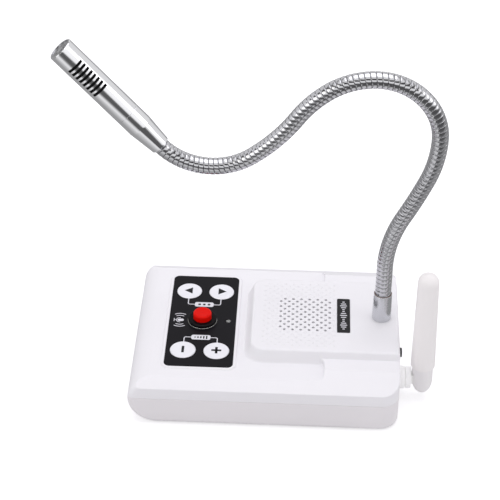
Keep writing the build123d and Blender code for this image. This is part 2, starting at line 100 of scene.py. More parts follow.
class Wire:
    """One output socket in a node tree. Arithmetic on it adds Math nodes to that tree."""

    def __init__(self, tree, socket=None):
        self.tree, self.socket = tree, socket

    def node(self, kind, settings=None, values=None, out=0):
        """Add a node: its settings come first, then values or links of its sockets."""
        made = self.tree.nodes.new(kind)
        for name, value in (settings or {}).items():
            if name == "stops":
                ramp = made.color_ramp.elements
                while len(ramp) < len(value):
                    ramp.new(1.0)
                for stop, (place, colour) in zip(ramp, value):
                    stop.position, stop.color = place, colour
            else:
                setattr(made, name, value)
        for name, value in (values or {}).items():
            if isinstance(value, Wire):
                self.tree.links.new(value.socket, made.inputs[name])
            else:
                made.inputs[name].default_value = value
        return Wire(self.tree, made.outputs[out])

    def other(self, name):
        """Another output of the same node."""
        return Wire(self.tree, self.socket.node.outputs[name])

    def into(self, socket):
        """Link this output to an input socket."""
        self.tree.links.new(self.socket, socket)

    def math(self, operation, *values):
        """Put values or other wires through a Math node."""
        return self.node("ShaderNodeMath", {"operation": operation}, dict(enumerate(values)))

    def __add__(self, other):
        return self.math("ADD", self, other)

    def __sub__(self, other):
        return self.math("SUBTRACT", self, other)

    def __mul__(self, other):
        return self.math("MULTIPLY", self, other)

    def __truediv__(self, other):
        return self.math("DIVIDE", self, other)

    def step(self, low, high):
        """0 below low and 1 above high, with a soft rise; falls instead if low is the larger."""
        return self.node("ShaderNodeMapRange", {"interpolation_type": "SMOOTHSTEP"},
                         {"Value": self, "From Min": low, "From Max": high})


def srgb(red, green, blue):
    """A shader colour from screen values of 0 to 255, by the screen's own tone curve."""
    share = np.array([red, green, blue]) / 255
    return (*np.where(share < 0.04045, share / 12.92, ((share + 0.055) / 1.055) ** 2.4), 1)


def mixed(factor, low, high):
    """A colour between two others."""
    return factor.node("ShaderNodeMix", {"data_type": "RGBA"}, {0: factor, 6: low, 7: high}, out=2)


white = (1, 1, 1, 1)
ambient = (0.72, 0.71, 0.73, 1)


def greys(*stops):
    """Ramp stops from pairs of place and grey level."""
    return {"stops": [(place, (level, level, level, 1)) for place, level in stops]}


# What polished metal mirrors: on the lens side it is dark up to the horizon, with a white
# screen above, a dark band over that and a bright ceiling. Behind the set it is mid-grey below
# the horizon, with light grey walls above and a dimmer band under the ceiling.
mirror_strength = 1.15
front_walls = greys((0.0, 0.11), (0.515, 0.15), (0.55, 0.82), (0.6, 1.0), (0.7, 1.0),
                    (0.74, 0.06), (0.84, 0.06), (0.88, 0.95))
back_walls = greys((0.0, 0.4), (0.49, 0.4), (0.54, 0.72), (0.78, 0.78), (0.84, 0.42), (0.88, 0.42),
                   (0.93, 0.95))
behind_from, behind_full = -0.1, 0.2
world = bpy.data.worlds.new("studio")
scene.world = world
world.use_nodes = True
world.node_tree.nodes.clear()
air = Wire(world.node_tree)
seen = air.node("ShaderNodeLightPath", out="Is Camera Ray")
mirrored = seen.math("MAXIMUM", seen.other("Is Glossy Ray"), seen.other("Is Transmission Ray"))
heading = air.node("ShaderNodeTexCoord", out="Generated")
height = air.node("ShaderNodeSeparateXYZ", {}, {0: heading}, out="Z")
level = height * 0.5 + 0.5
behind = height.other("Y").step(behind_from, behind_full)
walls = mixed(behind, level.node("ShaderNodeValToRGB", front_walls, {"Fac": level}),
              level.node("ShaderNodeValToRGB", back_walls, {"Fac": level}))
sky = mixed(seen, mixed(mirrored, ambient, walls), white)
backdrop = sky.node("ShaderNodeBackground", {}, {
    "Color": sky, "Strength": mirrored * (mirror_strength - 1) + 1})
backdrop.into(world.node_tree.nodes.new("ShaderNodeOutputWorld").inputs["Surface"])

lamp_target = Vector((0, 0, 0.05))


def softbox(name, place, size, power, tint):
    """A square lamp that faces a point just above the housing."""
    lamp = bpy.data.lights.new(name, "AREA")
    lamp.size = size
    lamp.energy = power
    lamp.color = tint
    holder = bpy.data.objects.new(name, lamp)
    holder.location = place
    holder.rotation_mode = "QUATERNION"
    holder.rotation_quaternion = (Vector(place) - lamp_target).to_track_quat("Z", "Y")
    scene.collection.objects.link(holder)


softbox("overhead", (0.0, 0.25, 1.3), 1.1, 5.65, (0.95, 0.94, 1.0))
softbox("front_left", (-1.0, -0.8, 0.7), 0.7, 2.05, (1.0, 0.985, 0.94))
softbox("right", (1.1, -0.2, 0.6), 0.6, 1.3, (1.0, 0.99, 0.98))

# ------------------------------------------------------------------- the floor
# A seamless pale sweep that holds the soft shadow and shows as plain white elsewhere. Metal
# mirrors it grey close by, light a hand's width off and dark beyond, on the lens side. Under the
# rear end (+X) it is darker, with one bright streak that runs towards the lens.
floor_reach, floor_level = 6.0, -0.2 * mm
floor_colour, floor_glow = (0.8, 0.8, 0.81, 1), 0.42
mirrored_reach = 0.6
mirrored_floor = greys((0.0, 0.33), (0.08, 0.36), (0.25, 0.62), (0.33, 0.8), (0.48, 0.76),
                       (0.6, 0.39), (0.78, 0.17), (1.0, 0.115))
rear_half = greys((0.0, 0.33), (0.2, 0.35), (0.32, 0.13), (0.6, 0.1), (1.0, 0.1))
rear_from, rear_full = 0.0, 0.025
streak_x, streak_half, streak_edge, streak_gain = 0.068, 0.014, 0.034, 0.55
streak_near, streak_far = (0.0, 0.06), (0.3, 0.22)
floor_material = bpy.data.materials.new("pale_floor")
floor_material.use_nodes = True
floor_material.node_tree.nodes.clear()
paper = Wire(floor_material.node_tree)
seen = paper.node("ShaderNodeLightPath", out="Is Camera Ray")
mirrored = seen.other("Is Glossy Ray")
matte = paper.node("ShaderNodeBsdfDiffuse", {}, {"Color": floor_colour})
glow = paper.node("ShaderNodeEmission", {}, {"Color": white, "Strength": seen * floor_glow})
lit = paper.node("ShaderNodeAddShader", {}, {0: matte, 1: glow})
spot = paper.node("ShaderNodeTexCoord", out="Object")
across = paper.node("ShaderNodeSeparateXYZ", {}, {0: spot}, out="X")
toward = across.other("Y") * (-1 / mirrored_reach)
aside = across.math("ABSOLUTE", across - streak_x)
streak = (aside.step(streak_edge, streak_half) * toward.step(*streak_far)
          * toward.step(*streak_near))
rear = mixed(streak * streak_gain, toward.node("ShaderNodeValToRGB", rear_half, {"Fac": toward}),
             white)
grey = mixed(across.step(rear_from, rear_full),
             toward.node("ShaderNodeValToRGB", mirrored_floor, {"Fac": toward}), rear)
mirror_glow = paper.node("ShaderNodeEmission", {}, {"Color": grey, "Strength": mirror_strength})
lit = paper.node("ShaderNodeMixShader", {}, {0: mirrored, 1: lit, 2: mirror_glow})
from_below = paper.node("ShaderNodeNewGeometry", out="Backfacing") * seen
clear = paper.node("ShaderNodeBsdfTransparent")
lit = paper.node("ShaderNodeMixShader", {}, {0: from_below, 1: lit, 2: clear})
lit.into(floor_material.node_tree.nodes.new("ShaderNodeOutputMaterial").inputs["Surface"])
floor_mesh = bpy.data.meshes.new("floor")
floor_mesh.from_pydata([(x * floor_reach, y * floor_reach, floor_level)
                        for x, y in ((-1, -1), (1, -1), (1, 1), (-1, 1))], [], [(0, 1, 2, 3)])
floor_mesh.materials.append(floor_material)
floor = bpy.data.objects.new("floor", floor_mesh)
scene.collection.objects.link(floor)

# --------------------------------------------------------- the housing's shells
# Two injection-moulded shells in a cool off-white with a fine eroded texture;
# the upper one has small blind dimples round its speaker holes.
housing_white = srgb(241, 240, 243)
speaker_x = 18.2 * mm
grille_pitch = 4.1 * mm
dimple_r, dimple_bottom_r, dimple_depth = 0.75 * mm, 0.225 * mm, 0.2 * mm
dimple_field_x, dimple_field_y = (-2.5 * mm, 33.5 * mm), 24.5 * mm
dimple_field_z = (30.2 * mm, 31.0 * mm)
dimple_edge = 1.5 * mm
drift_scale, slow_share = 45.0, 0.6
weld_decimals = 7


def finish(name, colour, roughness, grain, depth, drift=0.04, wear=0.15, sockets=None):
    """A finish whose colour and gloss drift slowly and whose surface has a fine grain.

    grain is the width of one grain and depth its height, in metres. The colour runs from
    (1 - drift) times itself to itself, the roughness swings by wear times itself. Returns the
    material, its shader, the object coordinates, the grain's height and the colour.
    """
    material = bpy.data.materials.new(name)
    material.use_nodes = True
    shader = material.node_tree.nodes["Principled BSDF"]
    for socket, value in (sockets or {}).items():
        shader.inputs[socket].default_value = value
    tree = Wire(material.node_tree)
    place = tree.node("ShaderNodeTexCoord", out="Object")
    slow = tree.node("ShaderNodeTexNoise", {}, {
        "Vector": place, "Scale": drift_scale, "Detail": 3.0})
    fine = tree.node("ShaderNodeTexNoise", {}, {
        "Vector": place, "Scale": 1 / grain, "Detail": 2.0})
    darker = (*(np.array(colour[:3]) * (1 - drift)), 1)
    tone = mixed(slow * slow_share + fine * (1 - slow_share), darker, colour)
    tone.into(shader.inputs["Base Color"])
    (slow * (2 * wear * roughness) + roughness * (1 - wear)).into(shader.inputs["Roughness"])
    relief = fine * depth
    raised(relief, shader)
    return material, shader, place, relief, tone


def raised(relief, shader):
    """Lead a height in metres to the shader's normal."""
    bump = relief.node("ShaderNodeBump", {}, {"Height": relief, "Distance": 1.0}, out="Normal")
    bump.into(shader.inputs["Normal"])


def parted(place):
    """The three coordinates of a vector."""
    x = place.node("ShaderNodeSeparateXYZ", {}, {0: place}, out="X")
    return x, x.other("Y"), x.other("Z")


def skin(node, material, crease=30):
    """A piece from a construction node's own mesh, its loose triangles joined and smoothed.

    Points at one place become one, and faces that meet under the crease angle shade as one
    curved surface. It stands for the node and rides where the node does.
    """
    source = frame["nodes"][node]
    points = np.empty(len(source.data.vertices) * 3, np.float32)
    source.data.vertices.foreach_get("co", points)
    corners = np.empty(len(source.data.loops), np.int32)
    source.data.loops.foreach_get("vertex_index", corners)
    points = points.reshape(-1, 3).round(weld_decimals)
    places, index = np.unique(points, axis=0, return_inverse=True)
    triangles = index.reshape(-1)[corners].reshape(-1, 3)
    whole = ((triangles[:, 0] != triangles[:, 1]) & (triangles[:, 1] != triangles[:, 2])
             & (triangles[:, 2] != triangles[:, 0]))
    mesh = bpy.data.meshes.new(node + "_skin")
    mesh.from_pydata(places, [], triangles[whole])
    mesh.shade_smooth()
    mesh.set_sharp_from_angle(angle=math.radians(crease))
    piece = placed(mesh, material, source["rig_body"], node)
    even = piece.modifiers.new("even_shading", "WEIGHTED_NORMAL")
    even.keep_sharp = True
    return piece


def placed(mesh, material, body, *nodes):
    """A new object from a mesh, with its material, its body and the nodes it stands for."""
    mesh.materials.append(material)
    piece = bpy.data.objects.new(mesh.name, mesh)
    scene.collection.objects.link(piece)
    if body:
        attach(piece, body)
    if nodes:
        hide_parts(*nodes)
    return piece


def nearest(across, along):
    """Distance to the nearest whole-numbered grid point, in grid steps."""
    across, along = across + 0.5, along + 0.5
    across = across.math("FRACT", across) - 0.5
    along = along.math("FRACT", along) - 0.5
    return across.math("SQRT", across * across + along * along)


shell_white, shader, place, relief, _ = finish(
    "housing_texture", housing_white, 0.42, 0.35 * mm, 0.012 * mm, drift=0.02)
x, y, z = parted(place)
across, along = (x - speaker_x) / grille_pitch, y / grille_pitch
to_dimple = across.math("MINIMUM", nearest(across, along + 0.5), nearest(across + 0.5, along))
dimple = (to_dimple * grille_pitch).step(dimple_r, dimple_bottom_r)
in_field = (x.step(dimple_field_x[0] - dimple_edge, dimple_field_x[0])
            * x.step(dimple_field_x[1] + dimple_edge, dimple_field_x[1])
            * y.math("ABSOLUTE", y).step(dimple_field_y + dimple_edge, dimple_field_y)
            * z.step(*dimple_field_z))
raised(relief - dimple * in_field * dimple_depth, shader)
skin("top_cover", shell_white)

tray_white, *_ = finish(
    "tray_texture", srgb(236, 233, 235), 0.45, 0.35 * mm, 0.014 * mm, drift=0.025)
skin("bottom_cover", tray_white)

# ------------------------------------------------------------ pad and case screws
# A die-cut rubber pad is glued into the tray's recess, and four zinc-plated
# pan-head screws sit in wells at the corners, each with a cross recess.
pad_rubber, *_ = finish("pad_rubber", srgb(44, 44, 46), 0.75, 0.5 * mm, 0.05 * mm, drift=0.25)
skin("base_pad", pad_rubber)
screw_zinc, *_ = finish("screw_zinc", srgb(176, 178, 182), 0.32, 0.2 * mm, 0.004 * mm, drift=0.1,
                        sockets={"Metallic": 1.0})


weld_reach = 0.0001 * mm


def surface(name, rows, material, body, *nodes, crease=35, tint=None):
    """A closed piece from rows x columns x 3 points: columns go round, rows run end to end.

    Rows that shrink to one point become a pole. Faces are turned outwards. tint is a value
    per point that the material reads as the attribute of that name.
    """
    count, round_count = rows.shape[:2]
    corner = np.arange(count * round_count).reshape(count, round_count)
    here, over = corner[:-1], corner[1:]
    faces = np.stack([here, np.roll(here, -1, 1), np.roll(over, -1, 1), over], axis=-1)
    mesh = bpy.data.meshes.new(name)
    mesh.from_pydata(rows.reshape(-1, 3), [], faces.reshape(-1, 4))
    if tint is not None:
        mesh.attributes.new("tint", "FLOAT", "POINT").data.foreach_set("value", tint.ravel())
    work = bmesh.new()
    work.from_mesh(mesh)
    bmesh.ops.remove_doubles(work, verts=work.verts, dist=weld_reach)
    bmesh.ops.recalc_face_normals(work, faces=work.faces)
    work.to_mesh(mesh)
    work.free()
    mesh.shade_smooth()
    mesh.set_sharp_from_angle(angle=math.radians(crease))
    return placed(mesh, material, body, *nodes)


def joined(name, pieces):
    """Several pieces of one kind as one piece."""
    with bpy.context.temp_override(active_object=pieces[0], object=pieces[0],
                                   selected_objects=pieces, selected_editable_objects=pieces):
        bpy.ops.object.join()
    pieces[0].name = pieces[0].data.name = name
    return pieces[0]


screw_low, screw_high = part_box("case_screws")
head_r, head_dome, head_height = 2.8 * mm, 0.7 * mm, 2.2 * mm
recess_depth, recess_half, recess_reach = 1.1 * mm, 0.42 * mm, 1.7 * mm
recess_side_slope, recess_end_slope = 0.2 * mm, 0.5 * mm
head_rings, head_sides = 40, 96
screw_x, screw_y = screw_high.x - head_r, screw_high.y - head_r

# A head's face falls with the cube of the radius, and a cross with sloping walls is cut in it.
radius = np.linspace(0, 1, head_rings)[:, None] * head_r
angle = np.linspace(0, 2 * np.pi, head_sides, endpoint=False)[None, :]
flat_x, flat_y = radius * np.cos(angle), radius * np.sin(angle)
narrow = np.minimum(abs(flat_x), abs(flat_y))
wide = np.maximum(abs(flat_x), abs(flat_y))
recess = (np.clip((recess_half - narrow) / recess_side_slope, 0, 1)
          * np.clip((recess_reach - wide) / recess_end_slope, 0, 1))
drop = head_dome * (radius / head_r) ** 3 + recess * recess_depth
heads = []
for sign_x, sign_y in ((-1, -1), (1, -1), (1, 1), (-1, 1)):
    dome = np.stack([flat_x + sign_x * screw_x, flat_y + sign_y * screw_y,
                     screw_low.z + drop], axis=-1)
    rim = dome[-1:] * [1, 1, 0] + [0, 0, screw_low.z + head_height]
    middle = np.broadcast_to(rim.mean(axis=1, keepdims=True), rim.shape)
    heads.append(surface("case_screw_head", np.concatenate([dome, rim, middle]), screw_zinc,
                         "housing"))
case_screw_heads = joined("case_screw_heads", heads)
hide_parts("case_screws")

# ----------------------------------------------------------------- control label
# A reverse-printed charcoal film lies in the framed recess. White line work ties each pair of
# keys to a small plate with a plain mark, three squares or five rising bars, and draws a
# microphone with its waves beside the push button.
label_top = 25.5 * mm
label_x = -33.4 * mm
ink_thickness = 0.03 * mm
left_x, right_x, pair_y = -41.68 * mm, -25.12 * mm, 23.8 * mm
far_bracket_y, near_bracket_y = 12.7 * mm, 13.85 * mm
bracket_end_y, bracket_corner = 17.6 * mm, 0.9 * mm
line_width = 0.48 * mm
tie_plate = (9.6 * mm, 3.7 * mm, 1.1 * mm)
square, square_pitch = (1.3 * mm, 1.3 * mm, 0.3 * mm), 2.4 * mm
level_count, level_pitch, level_wide, level_corner = 5, 1.45 * mm, 0.7 * mm, 0.15 * mm
level_low, level_rise = 0.7 * mm, 0.45 * mm
line_lift, plate_lift, mark_lift = 0.01 * mm, 0.03 * mm, 0.05 * mm
film, *_ = finish(
    "label_film", srgb(16, 14, 20), 0.36, 0.22 * mm, 0.006 * mm, drift=0.12,
    sockets={"Specular IOR Level": 0.12})
skin("control_label", film)
ink_white, *_ = finish("white_ink", srgb(226, 226, 232), 0.5, 0.15 * mm, 0.003 * mm, drift=0.05)
ink_dark, *_ = finish("dark_ink", srgb(26, 26, 30), 0.5, 0.15 * mm, 0.003 * mm, drift=0.1,
                      sockets={"Specular IOR Level": 0.2})


def rounded(corners, radius, steps=7, closed=True):
    """An outline whose corners are arcs: each corner's arc touches both of its sides."""
    corners = np.array(corners, float)
    outline = []
    for i, corner in enumerate(corners):
        if not closed and i in (0, len(corners) - 1):
            outline.append(corner[None])
            continue
        before, after = corners[i - 1] - corner, corners[(i + 1) % len(corners)] - corner
        before, after = before / np.linalg.norm(before), after / np.linalg.norm(after)
        half = math.acos(np.clip(before @ after, -1, 1)) / 2
        middle = (before + after) / np.linalg.norm(before + after)
        centre = corner + middle * radius / math.sin(half)
        sweep = np.linspace(half - math.pi / 2, math.pi / 2 - half, steps)[:, None]
        side = (after - before) / np.linalg.norm(after - before)
        outline.append(centre - middle * radius * np.cos(sweep) + side * radius * np.sin(sweep))
    return np.concatenate(outline)


def box_outline(centre_x, centre_y, size_x, size_y, radius):
    """A rounded rectangle's outline."""
    signs = np.array([(-1, -1), (1, -1), (1, 1), (-1, 1)])
    return rounded(signs * [size_x / 2, size_y / 2] + [centre_x, centre_y], radius)


def stroke(points, width):
    """The outline of a line of some width: the points moved half the width to each side."""
    points = np.array(points, float)
    along = np.gradient(points, axis=0)
    along /= np.linalg.norm(along, axis=1, keepdims=True)
    aside = along[:, ::-1] * [-1, 1] * width / 2
    return np.concatenate([points + aside, (points - aside)[::-1]])


def arc(centre_x, centre_y, radius, start, end, steps=17):
    """Points on an arc, its angles in degrees from +X towards +Y."""
    turn = np.radians(np.linspace(start, end, steps))
    return np.stack([centre_x + radius * np.cos(turn), centre_y + radius * np.sin(turn)], axis=1)


def printed(name, outlines, level, material, body):
    """Ink of a small thickness: each flat outline as a closed slab standing on a level."""
    points, faces = [], []
    for outline in outlines:
        count, base = len(outline), sum(len(p) for p in points)
        low = np.column_stack([outline, np.full(count, level)])
        points += [low, low + [0, 0, ink_thickness]]
        here = base + np.arange(count)
        after = base + np.roll(np.arange(count), -1)
        faces += [here[::-1].tolist(), (here + count).tolist()]
        faces += np.stack([here, after, after + count, here + count], axis=1).tolist()
    mesh = bpy.data.meshes.new(name)
    mesh.from_pydata(np.concatenate(points), [], faces)
    work = bmesh.new()
    work.from_mesh(mesh)
    bmesh.ops.recalc_face_normals(work, faces=work.faces)
    work.to_mesh(mesh)
    work.free()
    return placed(mesh, material, body)


line_work, plates, marks = [], [], []
for side, bracket_y in ((1, far_bracket_y), (-1, near_bracket_y)):
    line_work.append(stroke(rounded(
        [(left_x, side * bracket_end_y), (left_x, side * bracket_y),
         (right_x, side * bracket_y), (right_x, side * bracket_end_y)],
        bracket_corner, closed=False), line_width))
    plates.append(box_outline(label_x, side * bracket_y, *tie_plate))
for i in (-1, 0, 1):
    marks.append(box_outline(label_x + i * square_pitch, far_bracket_y, *square))
for i in range(level_count):
    marks.append(box_outline(label_x + (i - (level_count - 1) / 2) * level_pitch,
                             -near_bracket_y, level_wide, level_low + level_rise * i,
                             level_corner))
voice_x, voice_y = -44.9 * mm, -0.4 * mm
fine_line, wave_line = 0.36 * mm, 0.42 * mm
cradle_r, cradle_end, stem, foot_half = 1.75 * mm, 0.3 * mm, 2.9 * mm, 1.2 * mm
capsule, capsule_shift = (3.2 * mm, 1.9 * mm, 0.9 * mm), 0.4 * mm
wave_reaches, wave_half = (3.6 * mm, 5.2 * mm), 32
line_work += [
    box_outline(voice_x + capsule_shift, voice_y, *capsule),
    stroke(np.concatenate([[(voice_x + cradle_end, voice_y - cradle_r)],
                           arc(voice_x, voice_y, cradle_r, -90, -270),
                           [(voice_x + cradle_end, voice_y + cradle_r)]]), fine_line),
    stroke([(voice_x - cradle_r, voice_y), (voice_x - stem, voice_y)], fine_line),
    stroke([(voice_x - stem, voice_y - foot_half), (voice_x - stem, voice_y + foot_half)],
           fine_line)]
for reach in wave_reaches:
    for middle in (90, -90):
        wave = arc(voice_x, voice_y, reach, middle - wave_half, middle + wave_half)
        line_work.append(stroke(wave, wave_line))
printed("label_line_work", line_work, label_top + line_lift, ink_white, "housing")
printed("label_plates", plates, label_top + plate_lift, ink_white, "housing")
printed("label_plate_marks", marks, label_top + mark_lift, ink_dark, "housing")

# --------------------------------------------------------------------- the keys
# Four white press keys, each turned with a flange that keeps it under the cover
# and a low crown on top, printed with a plain symbol.
key_r, key_flange_r, key_edge = 6.35 * mm, 7.2 * mm, 0.35 * mm
key_low, key_flange_top, key_top = 21.9 * mm, 22.9 * mm, 25.6 * mm
key_crown, symbol_lift, bar_corner = 0.18 * mm, 0.005 * mm, 0.12 * mm
key_white, *_ = finish("key_white", srgb(240, 240, 245), 0.3, 0.3 * mm, 0.004 * mm, drift=0.02)


def lathe(name, profile, base, axis, material, body, *nodes, sides=96, ring=False):
    """A turned piece: each (radius, height) of the profile goes round the axis from its base.

    A point is base + axis * height + (side * cos(a) + other * sin(a)) * radius. A ring's
    profile ends where it begins.
    """
    axis = Vector(axis).normalized()
    side = axis.orthogonal().normalized()
    other = axis.cross(side)
    profile = np.array(profile, float)
    if ring:
        profile = np.concatenate([profile, profile[:1]])
    turn = np.linspace(0, 2 * np.pi, sides, endpoint=False)
    around = np.cos(turn)[:, None] * np.array(side) + np.sin(turn)[:, None] * np.array(other)
    rows = (np.array(base) + profile[:, 1, None, None] * np.array(axis)
            + profile[:, 0, None, None] * around)
    return surface(name, rows, material, body, *nodes)


# A key's crown falls from its middle with the square of the radius.
crown_r = np.linspace(key_r - key_edge, 0, 14)
crown = np.stack([crown_r, key_top + key_crown * (1 - (crown_r / key_r) ** 2)], axis=1)
key_profile = np.concatenate([
    [(0, key_low), (key_flange_r, key_low), (key_flange_r, key_flange_top)],
    [(key_r, key_flange_top), (key_r, key_top - key_edge)],
    arc(key_r - key_edge, key_top - key_edge, key_edge, 15, 80, 6), crown])
symbol_level = key_top + key_crown + symbol_lift


def bar(centre_x, centre_y, size_x, size_y):
    """A plain bar of a key's symbol."""
    return box_outline(centre_x, centre_y, size_x, size_y, bar_corner)


arrow_half, arrow_tip, arrow_back = 2.55 * mm, 2.5 * mm, 1.6 * mm
bar_wide, bar_long = 1.25 * mm, 4.9 * mm


def arrow(centre_x, way):
    """A triangle that points along X, way being -1 or 1."""
    return np.array([(centre_x + way * arrow_tip, pair_y),
                     (centre_x - way * arrow_back, pair_y + way * arrow_half),
                     (centre_x - way * arrow_back, pair_y - way * arrow_half)])


key_symbols = {
    "left": (left_x, pair_y, [arrow(left_x, -1)]),
    "right": (right_x, pair_y, [arrow(right_x, 1)]),
    "minus": (left_x, -pair_y, [bar(left_x, -pair_y, bar_wide, bar_long)]),
    "plus": (right_x, -pair_y, [bar(right_x, -pair_y, bar_wide, bar_long),
                                bar(right_x, -pair_y, bar_long, bar_wide)]),
}
for name, (key_x, key_y, symbol) in key_symbols.items():
    lathe(f"key_{name}_cap", key_profile, (key_x, key_y, 0), (0, 0, 1), key_white,
          f"{name}_key", f"key_{name}")
    printed(f"key_{name}_symbol", symbol, symbol_level, ink_dark, f"{name}_key")

# ----------------------------------------------------------- push-to-talk button
# A panel push button: a black moulded bush stands on a fine bright bead on the label, a painted
# highlight along the bush's lower edge, and the red nylon cap slides in it on a coil spring.
button_x = -33.5 * mm
cap_r, cap_flange_r, cap_round = 4.6 * mm, 5.2 * mm, 1.0 * mm
cap_low, cap_flange_top, cap_top, cap_dish = 22.9 * mm, 24.2 * mm, 30.7 * mm, 0.12 * mm
bush_black, *_ = finish("bush_black", srgb(17, 16, 18), 0.25, 0.25 * mm, 0.002 * mm, drift=0.15,
                        sockets={"Specular IOR Level": 0.08})
skin("ptt_housing", bush_black)
bush_r, bead_r = 7.25 * mm, 0.16 * mm
# Painted highlight: the bead's light nickel colour gives the thin bright arc round the bush's
# foot.
bead_highlight, *_ = finish("bead_highlight", srgb(190, 190, 186), 0.2, 0.2 * mm, 0.002 * mm,
                         drift=0.1, sockets={"Metallic": 1.0})


def round_section(radius, height, thick_r):
    """The profile of a ring with a round section: twelve points on a circle."""
    return arc(radius, height, thick_r, 0, 330, 12)


lathe("ptt_bead", round_section(bush_r, label_top + bead_r, bead_r), (button_x, 0, 0),
      (0, 0, 1), bead_highlight, "housing", ring=True)
cap_red, *_ = finish("cap_red", srgb(228, 14, 2), 0.34, 0.3 * mm, 0.004 * mm, drift=0.06,
                     sockets={"Specular IOR Level": 0.1})

# The cap's dish is deepest in the middle, and at a share t of its radius its depth is
# (1 - t^2)^2 times that.
dish_rim = cap_r - cap_round
dish_r = np.linspace(dish_rim, 0, 10)
dish = np.stack([dish_r, cap_top - cap_dish * (1 - (dish_r / dish_rim) ** 2) ** 2], axis=1)
cap_profile = np.concatenate([
    [(0, cap_low), (cap_flange_r, cap_low), (cap_flange_r, cap_flange_top)],
    [(cap_r, cap_flange_top)],
    arc(dish_rim, cap_top - cap_round, cap_round, 0, 88, 12), dish])
lathe("ptt_red_cap", cap_profile, (button_x, 0, 0), (0, 0, 1), cap_red, "ptt_button", "ptt_cap")

# -------------------------------------------------------------------- status lamp
# A small light-emitting diode: a tinted clear dome that stands just proud of
# the label, grey when it is off.
lamp_low, lamp_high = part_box("status_led")
lamp_r, lamp_flange_r, lamp_dome_rise = 1.2 * mm, 1.4 * mm, 0.45 * mm
lamp_flange_z, lamp_dome_z = lamp_low.z + 1 * mm, lamp_high.z - 0.35 * mm
lamp_lens, *_ = finish("lamp_lens", srgb(150, 152, 150), 0.2, 0.2 * mm, 0.002 * mm, drift=0.2,
                       sockets={"Transmission Weight": 0.25, "Coat Weight": 0.4})
lamp_profile = np.concatenate([
    [(0, lamp_low.z), (lamp_flange_r, lamp_low.z), (lamp_flange_r, lamp_flange_z)],
    [(lamp_r, lamp_flange_z)],
    arc(0, 0, 1, 0, 90, 10) * [lamp_r, lamp_dome_rise] + [0, lamp_dome_z]])
lathe("status_lamp", lamp_profile, ((lamp_low.x + lamp_high.x) / 2, 0, 0), (0, 0, 1), lamp_lens,
      "housing", "status_led", sides=48)

# ---------------------------------------------------------------------- name plate
# A thin black plate is bonded into the plateau beside the grille. It carries a
# plain row of level bars instead of words.
plate_x, plate_top = 37.4 * mm, 31.55 * mm
plate_black, *_ = finish("plate_black", srgb(20, 20, 23), 0.4, 0.2 * mm, 0.004 * mm, drift=0.15,
                        sockets={"Specular IOR Level": 0.25})
skin("name_plate", plate_black)
bar_count, bar_pitch, bars_per_swell = 15, 1.55 * mm, 5
bar_short, bar_swell, bar_thick, bar_round = 1.0 * mm, 2.5 * mm, 0.62 * mm, 0.2 * mm
bars = []
for i in range(bar_count):
    swell = 0.5 - 0.5 * math.cos(2 * math.pi * (i + 0.5) / bars_per_swell)
    bars.append(box_outline(plate_x, (i - (bar_count - 1) / 2) * bar_pitch,
                            bar_short + bar_swell * swell, bar_thick, bar_round))
printed("plate_level_bars", bars, plate_top + symbol_lift, ink_white, "housing")

# ---------------------------------------------------------------- gooseneck hose
# Round steel wire and a wedge wire are wound into one flexible tube and chrome
# plated. It keeps the bends that a hand gives it, so each length bends smoothly.
neck_x, hose_start_z = 56.3 * mm, 36.0 * mm
hose_r, hose_pitch, crest, groove = 4.0 * mm, 2.49 * mm, 0.08 * mm, 0.5 * mm
# Painted shade for the groove: a dark grey that the chrome takes on deep in each groove.
groove_power, groove_shade_power, groove_shade_grey = 20, 14, srgb(40, 40, 42)

# Each stretch is a list of arcs, from the housing on: the turn in degrees from +X towards +Z
# and the radius in millimetres, or 0 and a straight length in millimetres.
hose_stretches = [
    [(0, 26.6), (-9, 66)],
    [(-18, 66), (5, 264)],
    [(22, 62), (48, 31)],
    [(48, 31), (30, 38)],
    [(20, 57), (-20, 87)],
    [(-84.3, 32), (0, 1.2)],
]
bodies_along = ["housing", "neck_lower", "neck_mid", "neck_crown", "neck_drop", "neck_tip"]
rows_per_turn, columns_round = 24, 56
line_step = 0.05 * mm


def run_length(turn, size):
    """A straight run's own length, or the turn as an angle times the radius of its arc."""
    return math.radians(abs(turn)) * size * mm if turn else size * mm


runs = [(turn, run_length(turn, size)) for stretch in hose_stretches for turn, size in stretch]
run_ends = np.concatenate([[0], np.cumsum([length for _, length in runs])])
run_headings = np.radians(90 + np.concatenate([[0], np.cumsum([turn for turn, _ in runs])]))
fine = np.arange(0, run_ends[-1] + line_step, line_step)
fine_heading = np.interp(fine, run_ends, run_headings)
middle_heading = (fine_heading[1:] + fine_heading[:-1]) / 2
fine_x = neck_x + np.concatenate([[0], np.cumsum(np.cos(middle_heading))]) * line_step
fine_z = hose_start_z + np.concatenate([[0], np.cumsum(np.sin(middle_heading))]) * line_step


def hose_line(distance):
    """Centre points and headings at distances along the hose: each run turns at a steady rate."""
    distance = np.atleast_1d(distance)
    centre = np.stack([np.interp(distance, fine, fine_x), np.zeros(len(distance)),
                       np.interp(distance, fine, fine_z)], axis=1)
    return centre, np.interp(distance, run_ends, run_headings)


